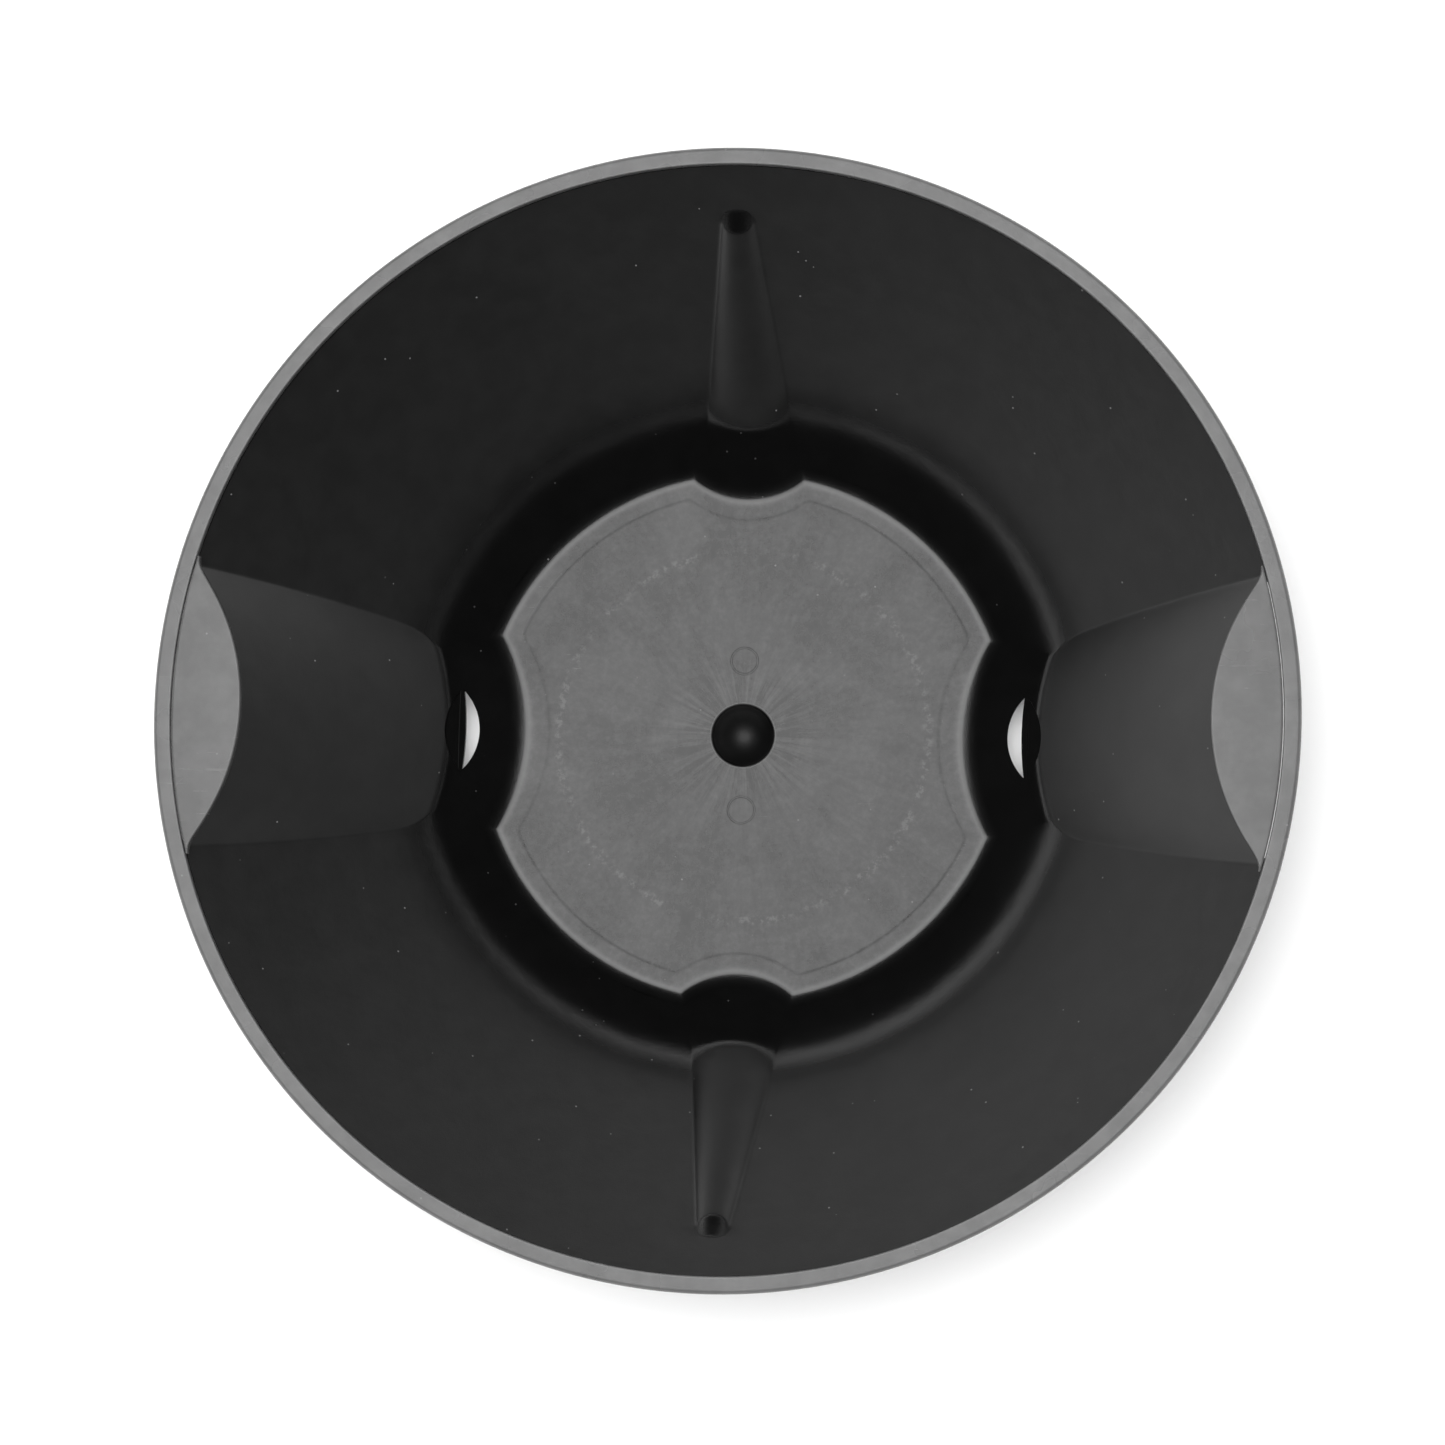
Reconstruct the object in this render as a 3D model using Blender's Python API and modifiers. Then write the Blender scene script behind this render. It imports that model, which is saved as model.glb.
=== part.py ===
"""A round moulded gold pan with two grips, in metres, +Z up.

The bowl is one thin moulding: a flat scalloped floor with a gate pit, a low shallow
stage round it, a steep tall wall, two finger channels on X and two tapered ribs on Y.
A rim ring caps its edge, and a crescent plate fills the rim over each finger channel.
The origin is on the surface that the pan stands on, at the middle of the bowl.
"""

import math

import bmesh
import bpy
from mathutils import Vector

# Overall sizes
RIM_RADIUS = 0.178
BOWL_DEPTH = 0.072
FOOT_HEIGHT = 0.0052
WALL = 0.0024
GAP = 0.0003

# Rim ring
RING_WIDTH = 0.0054
RING_PLATE = 0.0025
RING_SKIRT = 0.0100
RING_WALL = 0.0022
RING_ROUND = 0.0016

# Bowl wall: the floor's radius, and how far out and up from its edge the shoulder lies
FLOOR_RADIUS = 0.087
SHOULDER_FLARE = 0.0220
SHOULDER_HEIGHT = 0.0065

# Finger channels, on the X axis: how far they stand in from the wall, and their curve's radius
CHANNEL_FLOOR_DEPTH = 0.0153
CHANNEL_SHOULDER_DEPTH = 0.0100
CHANNEL_SHOULDER_HEIGHT = 0.0060
CHANNEL_RIM_DEPTH = 0.0221
CHANNEL_FLOOR_CURVE = 0.0640
CHANNEL_SHOULDER_CURVE = 0.0830
CHANNEL_RIM_CURVE = 0.0684

# Ribs, on the Y axis: how far the ridge stands in from the wall, and half the rib's width
RIB_FLOOR_DEPTH = 0.0089
RIB_SHOULDER_DEPTH = 0.0076
RIB_SHOULDER_HEIGHT = 0.0065
RIB_TIP_DEPTH = 0.0040
RIB_TIP_DROP = 0.0140
RIB_END_DROP = 0.0112
RIB_FLOOR_HALF = 0.0185
RIB_SHOULDER_HALF = 0.01375
RIB_TIP_HALF = 0.0053

# Drain slots in the shallow stage of each channel: the height of their inner edge, and their size
SLOT_HEIGHT = 0.0037
SLOT_WIDTH = 0.0055
SLOT_HALF_LENGTH = 0.0133

# Gate pit in the middle of the floor
PIT_RADIUS = 0.0103
PIT_DEPTH = 0.0046

# Grip plates: how softly their ends run into the ring, and how thin they end
GRIP_BLEND = 0.0030
GRIP_TIP_WIDTH = 0.0006

# Mesh fineness: steps along each curve of a quarter of the bowl, and between its bends
CHANNEL_STEPS = 8
WALL_STEPS = 8
RIB_STEPS = 6
PIT_STEPS = 3
ROW_SPACING = 0.0095
SLOT_STEPS = 19
RING_STEPS = 96
RING_ROUND_STEPS = 3
GRIP_STEPS = 16
GRIP_END_STEP = 0.0001
WELD_DISTANCE = 0.00001
MERGE_DISTANCE = 0.00005
SHARP_ANGLE = math.radians(30.0)

# Worked out from the sizes above
FLOOR_Z = FOOT_HEIGHT + WALL
RIM_Z = FLOOR_Z + BOWL_DEPTH
RING_INNER = RIM_RADIUS - RING_WIDTH
EDGE_HEIGHT = BOWL_DEPTH - RING_PLATE - GAP
FLANGE_WIDTH = RING_WIDTH - RING_WALL - 2 * GAP
RIB_TIP_HEIGHT = EDGE_HEIGHT - RIB_TIP_DROP
RIB_END_HEIGHT = EDGE_HEIGHT - RIB_END_DROP


def clear_scene():
    for item in list(bpy.data.objects):
        bpy.data.objects.remove(item, do_unlink=True)


def new_collection(name):
    collection = bpy.data.collections.new(name)
    bpy.context.scene.collection.children.link(collection)
    return collection


def plastic(name, color, roughness):
    material = bpy.data.materials.new(name)
    material.use_nodes = True
    shader = material.node_tree.nodes["Principled BSDF"]
    shader.inputs["Base Color"].default_value = (*color, 1.0)
    shader.inputs["Roughness"].default_value = roughness
    shader.inputs["Metallic"].default_value = 0.0
    return material


def add_object(name, mesh, collection, material=None):
    item = bpy.data.objects.new(name, mesh)
    collection.objects.link(item)
    if material:
        mesh.materials.append(material)
    return item


def between(height, bends):
    """The value at a height, on straight runs between (height, value) bends."""
    for (low, start), (high, end) in zip(bends, bends[1:]):
        if height <= high:
            share = (height - low) / (high - low)
            return start + share * (end - start)
    return bends[-1][1]


def wall_radius(height):
    bends = (
        (0.0, FLOOR_RADIUS),
        (SHOULDER_HEIGHT, FLOOR_RADIUS + SHOULDER_FLARE),
        (EDGE_HEIGHT, RING_INNER),
    )
    return between(height, bends)


def channel_reach(height):
    shoulder = wall_radius(CHANNEL_SHOULDER_HEIGHT) - CHANNEL_SHOULDER_DEPTH
    bends = (
        (0.0, FLOOR_RADIUS - CHANNEL_FLOOR_DEPTH),
        (CHANNEL_SHOULDER_HEIGHT, shoulder),
        (EDGE_HEIGHT, RING_INNER - CHANNEL_RIM_DEPTH),
    )
    return between(height, bends)


def channel_curve(height):
    bends = (
        (0.0, CHANNEL_FLOOR_CURVE),
        (CHANNEL_SHOULDER_HEIGHT, CHANNEL_SHOULDER_CURVE),
        (EDGE_HEIGHT, CHANNEL_RIM_CURVE),
    )
    return between(height, bends)


def rib_reach(height):
    bends = (
        (0.0, FLOOR_RADIUS - RIB_FLOOR_DEPTH),
        (RIB_SHOULDER_HEIGHT, wall_radius(RIB_SHOULDER_HEIGHT) - RIB_SHOULDER_DEPTH),
        (RIB_TIP_HEIGHT, wall_radius(RIB_TIP_HEIGHT) - RIB_TIP_DEPTH),
        (RIB_END_HEIGHT, wall_radius(RIB_END_HEIGHT)),
        (EDGE_HEIGHT, RING_INNER),
    )
    return between(height, bends)


def rib_half_width(height):
    bends = (
        (0.0, RIB_FLOOR_HALF),
        (RIB_SHOULDER_HEIGHT, RIB_SHOULDER_HALF),
        (RIB_TIP_HEIGHT, RIB_TIP_HALF),
        (EDGE_HEIGHT, RIB_TIP_HALF),
    )
    return between(height, bends)


def channel_points(height):
    """Plan points on the channel's curve, from the X axis out to the main wall."""
    radius = wall_radius(height)
    curve = channel_curve(height)
    middle = channel_reach(height) + curve
    end_x = (radius**2 + middle**2 - curve**2) / (2 * middle)
    end_y = math.sqrt(radius**2 - end_x**2)
    sweep = math.atan2(end_y, middle - end_x)
    angles = [sweep * step / CHANNEL_STEPS for step in range(CHANNEL_STEPS + 1)]
    return [(middle - curve * math.cos(a), curve * math.sin(a)) for a in angles]


def rib_points(height):
    """Plan points on the rib's curve, from the main wall in to the Y axis."""
    radius = wall_radius(height)
    half = rib_half_width(height)
    chord_y = math.sqrt(radius**2 - half**2)
    bulge = chord_y - rib_reach(height)
    shares = [step / RIB_STEPS for step in range(RIB_STEPS, -1, -1)]
    if bulge <= 0.0:
        xs = [half * share for share in shares]
        return [(x, math.sqrt(radius**2 - x**2)) for x in xs]
    curve = (half**2 + bulge**2) / (2 * bulge)
    middle = rib_reach(height) + curve
    sweep = math.atan2(half, curve - bulge)
    return [(curve * math.sin(sweep * s), middle - curve * math.cos(sweep * s)) for s in shares]


def wall_points(height, start, end):
    """Plan points on the round wall between the channel's end and the rib's start."""
    radius = wall_radius(height)
    first = math.atan2(start[1], start[0])
    last = math.atan2(end[1], end[0])
    angles = [first + (last - first) * step / WALL_STEPS for step in range(1, WALL_STEPS)]
    return [(radius * math.cos(a), radius * math.sin(a)) for a in angles]


def section(height):
    """Plan points of a quarter of the bowl's inside, from the X axis to the Y axis."""
    channel = channel_points(height)
    rib = rib_points(height)
    return channel + wall_points(height, channel[-1], rib[0]) + rib


def scaled_out(points, distance):
    """The same points, each moved away from the bowl's axis."""
    moved = []
    for x, y in points:
        reach = math.hypot(x, y)
        moved.append((x * (reach + distance) / reach, y * (reach + distance) / reach))
    return moved


def wall_heights():
    """Heights above the floor of the wall's rows, from the edge down."""
    shoulders = (SHOULDER_HEIGHT, CHANNEL_SHOULDER_HEIGHT, RIB_SHOULDER_HEIGHT)
    bends = sorted({0.0, *shoulders, RIB_TIP_HEIGHT, RIB_END_HEIGHT, EDGE_HEIGHT})
    heights = [bends[0]]
    for low, high in zip(bends, bends[1:]):
        steps = math.ceil((high - low) / ROW_SPACING)
        heights += [low + (high - low) * step / steps for step in range(1, steps + 1)]
    return heights[::-1]


def bowl_rows():
    """Rows of points down the inside of a quarter bowl, from the flange to the pit."""
    edge = section(EDGE_HEIGHT)
    rows = [[(x, y, FLOOR_Z + EDGE_HEIGHT) for x, y in scaled_out(edge, FLANGE_WIDTH)]]
    for height in wall_heights():
        rows.append([(x, y, FLOOR_Z + height) for x, y in section(height)])
    turns = [math.atan2(y, x) for x, y in section(0.0)]
    sphere = (PIT_RADIUS**2 + PIT_DEPTH**2) / (2 * PIT_DEPTH)
    for step in range(PIT_STEPS, 0, -1):
        radius = PIT_RADIUS * step / PIT_STEPS
        drop = math.sqrt(sphere**2 - radius**2) - (sphere - PIT_DEPTH)
        rows.append([(radius * math.cos(a), radius * math.sin(a), FLOOR_Z - drop) for a in turns])
    return rows


def bowl_surface():
    """The inside of a quarter bowl, open at the X and Y planes, facing in and up."""
    build = bmesh.new()
    rows = [[build.verts.new(point) for point in row] for row in bowl_rows()]
    for outer, inner in zip(rows, rows[1:]):
        for a, b, c, d in zip(outer, outer[1:], inner[1:], inner):
            build.faces.new((a, b, c, d))
    middle = build.verts.new((0.0, 0.0, FLOOR_Z - PIT_DEPTH))
    for a, b in zip(rows[-1], rows[-1][1:]):
        build.faces.new((a, b, middle))
    for row in rows:
        row[0].co.y = 0.0
        row[-1].co.x = 0.0
    mesh = bpy.data.meshes.new("pan_body")
    build.to_mesh(mesh)
    build.free()
    return mesh


def mirror_quarter(item):
    mirror = item.modifiers.new("four_quarters", "MIRROR")
    mirror.use_axis = (True, True, False)
    mirror.merge_threshold = MERGE_DISTANCE


def join_to(item, other, operation):
    cut = item.modifiers.new(other.name, "BOOLEAN")
    cut.operation = operation
    cut.solver = "EXACT"
    cut.object = other


def make_foot(cutters):
    """A low standing wall under the floor, which follows the floor's outline."""
    build = bmesh.new()
    outer = section(0.0)
    inner = scaled_out(outer, -WALL)
    top = FLOOR_Z - WALL / 2
    rows = [
        [(x, y, 0.0) for x, y in inner],
        [(x, y, 0.0) for x, y in outer],
        [(x, y, top) for x, y in outer],
        [(x, y, top) for x, y in inner],
    ]
    verts = [[build.verts.new(point) for point in row] for row in rows]
    for index, row in enumerate(verts):
        following = verts[(index + 1) % len(verts)]
        for a, b, c, d in zip(row, row[1:], following[1:], following):
            build.faces.new((a, d, c, b))
    for row in verts:
        row[0].co.y = 0.0
        row[-1].co.x = 0.0
    bmesh.ops.recalc_face_normals(build, faces=build.faces)
    mesh = bpy.data.meshes.new("foot")
    build.to_mesh(mesh)
    build.free()
    foot = add_object("foot", mesh, cutters)
    mirror_quarter(foot)
    hide_helper(foot)
    return foot


def hide_helper(item):
    item.hide_render = True
    item.display_type = "WIRE"


def make_slot_cutter(cutters, side):
    """A tall lens-shaped prism that cuts one drain slot."""
    curve = (SLOT_HALF_LENGTH**2 + SLOT_WIDTH**2) / (2 * SLOT_WIDTH)
    sweep = math.asin(SLOT_HALF_LENGTH / curve)
    middle = channel_reach(SLOT_HEIGHT) + curve
    outline = []
    for step in range(SLOT_STEPS + 1):
        angle = sweep * (2 * step / SLOT_STEPS - 1)
        outline.append((middle - curve * math.cos(angle), curve * math.sin(angle)))
    build = bmesh.new()
    verts = [build.verts.new((side * x, y, FOOT_HEIGHT)) for x, y in outline]
    face = build.faces.new(verts)
    raised = bmesh.ops.extrude_face_region(build, geom=[face])
    moved = [part for part in raised["geom"] if isinstance(part, bmesh.types.BMVert)]
    bmesh.ops.translate(build, verts=moved, vec=Vector((0.0, 0.0, BOWL_DEPTH)))
    bmesh.ops.recalc_face_normals(build, faces=build.faces)
    mesh = bpy.data.meshes.new("slot")
    build.to_mesh(mesh)
    build.free()
    cutter = add_object(f"slot_{'right' if side > 0 else 'left'}", mesh, cutters)
    hide_helper(cutter)
    return cutter


def make_pan_body(parts, cutters):
    material = plastic("pan_plastic", (0.012, 0.012, 0.012), 0.42)
    body = add_object("pan_body", bowl_surface(), parts, material)
    mirror_quarter(body)
    shell = body.modifiers.new("wall", "SOLIDIFY")
    shell.thickness = WALL
    shell.offset = -1.0
    shell.use_even_offset = True
    shell.use_quality_normals = True
    join_to(body, make_foot(cutters), "UNION")
    for side in (-1, 1):
        join_to(body, make_slot_cutter(cutters, side), "DIFFERENCE")
    return body


def make_rim_ring(parts):
    """The ring that caps the bowl's edge, turned from an L-shaped section."""
    material = plastic("rim_plastic", (0.020, 0.020, 0.020), 0.38)
    skirt_inner = RIM_RADIUS - RING_WALL
    profile = [(RING_INNER, RIM_Z)]
    for step in range(RING_ROUND_STEPS + 1):
        angle = math.pi / 2 * (1 - step / RING_ROUND_STEPS)
        x = RIM_RADIUS - RING_ROUND + RING_ROUND * math.cos(angle)
        z = RIM_Z - RING_ROUND + RING_ROUND * math.sin(angle)
        profile.append((x, z))
    profile.append((RIM_RADIUS, RIM_Z - RING_SKIRT))
    profile.append((skirt_inner, RIM_Z - RING_SKIRT))
    profile.append((skirt_inner, RIM_Z - RING_PLATE))
    profile.append((RING_INNER, RIM_Z - RING_PLATE))
    mesh = bpy.data.meshes.new("rim_ring")
    points = [(x, 0.0, z) for x, z in profile]
    edges = [(index, (index + 1) % len(points)) for index in range(len(points))]
    mesh.from_pydata(points, edges, [])
    ring = add_object("rim_ring", mesh, parts, material)
    screw = ring.modifiers.new("turn", "SCREW")
    screw.angle = math.tau
    screw.steps = RING_STEPS
    screw.render_steps = RING_STEPS
    screw.use_merge_vertices = True
    screw.merge_threshold = MERGE_DISTANCE
    screw.use_smooth_shade = True
    return ring


def grip_outline():
    """Plan outline of the crescent on +X, with ends that blend into the ring."""
    outer_radius = RING_INNER - GAP
    curve = CHANNEL_RIM_CURVE
    middle = RING_INNER - CHANNEL_RIM_DEPTH + curve

    def outer_x(y):
        return math.sqrt(outer_radius**2 - y**2)

    def inner_x(y):
        arc = middle - math.sqrt(curve**2 - y**2)
        ring = outer_x(y)
        return 0.5 * (arc + ring) - 0.5 * math.hypot(arc - ring, GRIP_BLEND)

    end = 0.0
    while outer_x(end) - inner_x(end) > GRIP_TIP_WIDTH:
        end += GRIP_END_STEP
    ys = [-end + 2 * end * step / GRIP_STEPS for step in range(GRIP_STEPS + 1)]
    inner = [(inner_x(y), y) for y in ys]
    outer = [(outer_x(y), y) for y in reversed(ys)]
    return inner + outer


def make_grip(parts, side, name):
    """A flat crescent plate that fills the rim over one finger channel."""
    curve = bpy.data.curves.new(name + "_outline", "CURVE")
    curve.dimensions = "2D"
    curve.fill_mode = "BOTH"
    curve.extrude = RING_PLATE / 2
    spline = curve.splines.new("POLY")
    outline = [(side * x, y) for x, y in grip_outline()]
    spline.points.add(len(outline) - 1)
    for point, (x, y) in zip(spline.points, outline):
        point.co = (x, y, 0.0, 1.0)
    spline.use_cyclic_u = True
    drawn = bpy.data.objects.new(name + "_outline", curve)
    bpy.context.scene.collection.objects.link(drawn)
    drawn.location.z = RIM_Z - RING_PLATE / 2
    bpy.context.view_layer.update()
    evaluated = drawn.evaluated_get(bpy.context.evaluated_depsgraph_get())
    mesh = bpy.data.meshes.new_from_object(evaluated)
    mesh.name = name
    build = bmesh.new()
    build.from_mesh(mesh)
    bmesh.ops.remove_doubles(build, verts=build.verts, dist=WELD_DISTANCE)
    bmesh.ops.recalc_face_normals(build, faces=build.faces)
    build.to_mesh(mesh)
    build.free()
    material = plastic(name + "_plastic", (0.022, 0.022, 0.022), 0.36)
    plate = add_object(name, mesh, parts, material)
    plate.matrix_world = drawn.matrix_world.copy()
    bpy.data.objects.remove(drawn, do_unlink=True)
    return plate


def main():
    clear_scene()
    parts = new_collection("gold_pan")
    cutters = new_collection("cutters")
    body = make_pan_body(parts, cutters)
    body.data.shade_smooth()
    body.data.set_sharp_from_angle(angle=SHARP_ANGLE)
    make_rim_ring(parts)
    make_grip(parts, 1, "right_grip_plate")
    make_grip(parts, -1, "left_grip_plate")


main()
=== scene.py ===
"""The looks of a round moulded gold pan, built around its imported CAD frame."""

import math

import bmesh
import bpy
import numpy as np
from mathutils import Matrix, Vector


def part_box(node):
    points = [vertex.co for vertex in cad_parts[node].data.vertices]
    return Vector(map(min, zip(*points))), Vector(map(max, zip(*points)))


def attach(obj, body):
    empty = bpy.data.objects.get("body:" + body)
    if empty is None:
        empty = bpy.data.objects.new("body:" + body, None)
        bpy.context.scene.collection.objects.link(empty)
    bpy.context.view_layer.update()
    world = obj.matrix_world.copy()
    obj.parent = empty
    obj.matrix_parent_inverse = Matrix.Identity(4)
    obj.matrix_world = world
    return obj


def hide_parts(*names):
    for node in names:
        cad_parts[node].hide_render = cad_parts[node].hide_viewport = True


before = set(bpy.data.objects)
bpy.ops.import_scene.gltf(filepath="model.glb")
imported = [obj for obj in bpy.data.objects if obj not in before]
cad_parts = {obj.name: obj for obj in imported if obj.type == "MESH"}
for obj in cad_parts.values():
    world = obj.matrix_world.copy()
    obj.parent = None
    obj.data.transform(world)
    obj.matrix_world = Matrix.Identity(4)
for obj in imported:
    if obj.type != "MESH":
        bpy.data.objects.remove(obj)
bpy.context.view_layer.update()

# Places read from the CAD frame, in metres
BODY_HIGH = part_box("pan_body")[1]
RING_LOW, RING_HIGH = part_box("rim_ring")
GRIP_LOW, GRIP_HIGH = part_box("right_grip_plate")
RIM_RADIUS = RING_HIGH.x
RIM_Z = RING_HIGH.z
RING_BOTTOM = RING_LOW.z
PLATE_BOTTOM = GRIP_LOW.z
GRIP_HALF = GRIP_HIGH.y

# Sizes that the frame's boxes don't give, the same as the CAD's
GAP = 0.0003
FOOT_HEIGHT = 0.0052
WALL = 0.0024
RING_WALL = 0.0022
PIT_RADIUS = 0.0103
PIT_DEPTH = 0.0046
SLOT_REACH = 0.0875
SLOT_WIDTH = 0.0055
SLOT_HALF = 0.0133
GRIP_BLEND = 0.0030

# Worked out from the sizes above
RING_INNER = GRIP_HIGH.x + GAP
FLANGE_WIDTH = BODY_HIGH.y - RING_INNER
FLOOR_Z = FOOT_HEIGHT + WALL
FLANGE_Z = BODY_HIGH.z
EDGE_HEIGHT = FLANGE_Z - FLOOR_Z
RIB_TIP_HEIGHT = EDGE_HEIGHT - 0.0140

# The bowl's bends, the same as the CAD body's: (height above the floor, distance from the axis)
WALL_BENDS = ((0.0, 0.087), (0.0065, 0.109), (EDGE_HEIGHT, RING_INNER))
CHANNEL_BENDS = ((0.0, 0.0717), (0.0060, 0.0973), (EDGE_HEIGHT, 0.1505))
RIB_BENDS = ((0.0, 0.0781), (0.0065, 0.1014), (RIB_TIP_HEIGHT, 0.1544))

# The radius of the channels' curve and half the ribs' width, at the same heights
CHANNEL_CURVES = ((0.0, 0.0640), (0.0060, 0.0830), (EDGE_HEIGHT, 0.0684))
RIB_HALVES = ((0.0, 0.0185), (0.0065, 0.01375), (RIB_TIP_HEIGHT, 0.0053))

# How far each bend is rounded, and the fillets in the valleys beside channels and ribs
WALL_SOFTNESS = 0.0020
CHANNEL_SOFTNESS = 0.00045
RIB_SOFTNESS = 0.0004
COVE_SOFTNESS = 0.00028
VALLEY_FILLET = 0.0016
BORDER_FILLET_GROWTH = 2.0

# The rib's cap: its height, and how narrow its end is as a share of its width
RIB_CAP = 0.0030
RIB_CAP_END = 0.35

# A rib that stands out less than this has run out into the wall
FLAT_DEPTH = 0.00005

# Bands of rows up the wall and round the cove: where each starts, where it ends, and its rows
TIP_BAND = (RIB_TIP_HEIGHT - 0.0012, RIB_TIP_HEIGHT + RIB_CAP + 0.0004, 18)
UPPER_BAND = (0.013, EDGE_HEIGHT, 28)
SHOULDER_BAND = (0.0035, 0.0125, 31)
LOWER_BAND = (0.0008, 0.0030, 4)
COVE_BAND = (5.0, -4.2, 15)

# The floor's sunk border: where each row lies, as shares of its reach and of its drop
BORDER_REACH = 0.0016
BORDER_DROP = 0.00006
BORDER_ROWS = ((0.80, 0.0), (0.86, 0.8), (0.96, 1.0), (1.0, 0.9), (1.10, 0.1), (1.16, 0.0), (1.24, 0.0))

# Rows across the floor: their radii, the collar round the pit, the pit's rounded edge as steps
# out and down, and the rows down its bowl as shares of its radius
FLOOR_EASE_RADIUS = 0.058
FLOOR_EASE_SCALE = 0.93
FLOOR_RADII = (0.054, 0.042, 0.028, 0.018)
PIT_COLLAR = 0.0016
PIT_EDGE_ROWS = ((0.00036, 0.0), (0.00012, 0.00006))
PIT_EDGE_LOW = 0.00018
PIT_SHARES = (1.0, 0.94, 0.86, 0.76, 0.64, 0.5, 0.36, 0.22, 0.1)

# Underside: the standing wall's rounding, the rings of rows inside it, and the pit's boss
FOOT_JOIN = 0.0004
FOOT_ROUND = 0.0006
FOOT_SOFT_STEP = 0.0002
FOOT_SOFT_HEIGHT = 0.0003
FOOT_SIDE_LOW = 0.0009
UNDERSIDE_RADII = (0.055, 0.030, 0.0150)
BOSS_SHARES = (1.0, 0.85, 0.65, 0.45, 0.25, 0.1)
BOSS_TRIM = 0.0002

# The bowl's flange under the rim ring: its rounding, where its underside starts, and how far
# below it the wall's outer rows stop
FLANGE_ROUND = 0.0002
FLANGE_START = 0.0012
FLANGE_CLEAR = 0.0006

# The step beyond each slot, the bow of the slot's outer side, and the heights of the cutters
SHELF_HEIGHT = 0.0044
SHELF_RISE = 0.26
SHELF_WIDTH = 0.0046
SLOT_BOW = 0.0009
CUTTER_LOW = 0.004
CUTTER_HIGH = 0.06

# Roundings of the rim band and the grips, and where their flat stretches start
RIM_INNER_ROUND = 0.0004
RIM_OUTER_ROUND = 0.0012
RIM_SKIRT_ROUND = 0.0006
RIM_PLATE_ROUND = 0.0003
RIM_SKIRT_CORNER = 0.0004
RIM_INNER_FLAT = 0.0006
RIM_OUTER_FLAT = 0.0014
RIM_SIDE_TOP = 0.0016
RIM_SIDE_BOTTOM = 0.0009
GRIP_ROUND = 0.0005
GRIP_ROUND_SHARE = 0.45
GRIP_FLAT_START = 1.2
GRIP_FLAT_SHARE = 0.01

# Mesh fineness, and the angles above which an edge stays sharp, in degrees
CHANNEL_STEPS = 26
FILLET_STEPS = 4
WALL_STEPS = 36
RIB_STEPS = 20
SLOT_INNER_POINTS = 33
SLOT_OUTER_POINTS = 17
SHELF_POINTS = 25
RIM_STEPS = 360
GRIP_ROWS = 61
BOWL_SHARP = 38
RIM_SHARP = 40

# The floor's moulding marks and the painted highlight round the pit's edge: places and radii
PIN_PLACES = ((0.0, 0.0248), (0.0, -0.0248))
PIN_RADIUS = 0.0044
DISC_PLACES = ((-0.0492, 0.0), (0.0492, 0.0))
SCUFF_RING = 0.0615
PIT_HIGHLIGHT_RING = 0.0107
BORDER_INNER = 0.055
BORDER_OUTER = 0.060

# Each plastic's clean and worn grey, its roughness and its index of refraction; the rim's and grips' greys
# are painted lighter than the bowl's, a painted reflection of the overhead light on their flat tops
BOWL_LOOK = {"base": 0.0022, "worn": 0.0040, "roughness": 0.19, "index": 1.49, "wall_roughness": 0.34}
RIM_PAINTED_LIGHT_LOOK = {"base": 0.085, "worn": 0.105, "roughness": 0.27, "index": 1.58}
GRIP_PAINTED_LIGHT_LOOK = {"base": 0.068, "worn": 0.084, "roughness": 0.25, "index": 1.56}

# Greys of the marks on the plastic, of the painted highlight round the pit's edge, and of the painted shade
# on the lower stage and in the pit
DUST_GREY = 0.25
WEAR_GREY = 0.06
PIT_EDGE_HIGHLIGHT_GREY = 0.12
OUTLINE_GREY = 0.16
PAINTED_SHADE_GREY = 0.0003

# How far the textured walls' sheen leans towards straight up, and the smooth stage's away
WALL_LIFT = 0.32
STAGE_LEAN = 0.30

# The room's light: its low level, its lean to one side, its level overhead, its fade and slant
WORLD_LOW = 1.70
WORLD_LEAST = 0.2
WORLD_TILT = 0.85
WORLD_TILT_SHARE = 0.7
WORLD_HIGH = 0.06
WORLD_FADE = (0.36, 0.50)
WORLD_SLANT = 0.075

# The stage's floor: half its width, how far under the pan it lies, and its two greys
STAGE_HALF = 6.0
STAGE_DROP = 0.0005
STAGE_GREY = 0.94
STAGE_SHADE = 0.98


# ---------------------------------------------------------------- shape helpers


def bent(height, bends, softness):
    """Straight runs through (height, value) bends, with each inner bend rounded."""
    slopes = [(b[1] - a[1]) / (b[0] - a[0]) for a, b in zip(bends, bends[1:])]
    value = bends[0][1] + slopes[0] * (height - bends[0][0])
    for (bend, _), before, after in zip(bends[1:], slopes, slopes[1:]):
        reach = (height - bend) / softness
        rounded = softness * (max(reach, 0.0) + math.log1p(math.exp(-abs(reach))))
        value += (after - before) * rounded
    return value


def arc(center, radius, first, last, steps, whole=False):
    """Points along an arc; its last point is left out unless the arc is whole."""
    count = steps + 1 if whole else steps
    turns = [first + (last - first) * i / steps for i in range(count)]
    return [(center[0] + radius * math.cos(a), center[1] + radius * math.sin(a)) for a in turns]


def touch_points(radius, middle, curve, fillet):
    """The centre of a fillet between the wall and a bulge on +X, and the turns where it touches."""
    reach = radius - fillet
    span = curve + fillet
    x = (reach**2 + middle**2 - span**2) / (2 * middle)
    y = math.sqrt(max(reach**2 - x**2, 0.0))
    return (x, y), math.atan2(y, x), math.atan2(y, middle - x)


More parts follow.
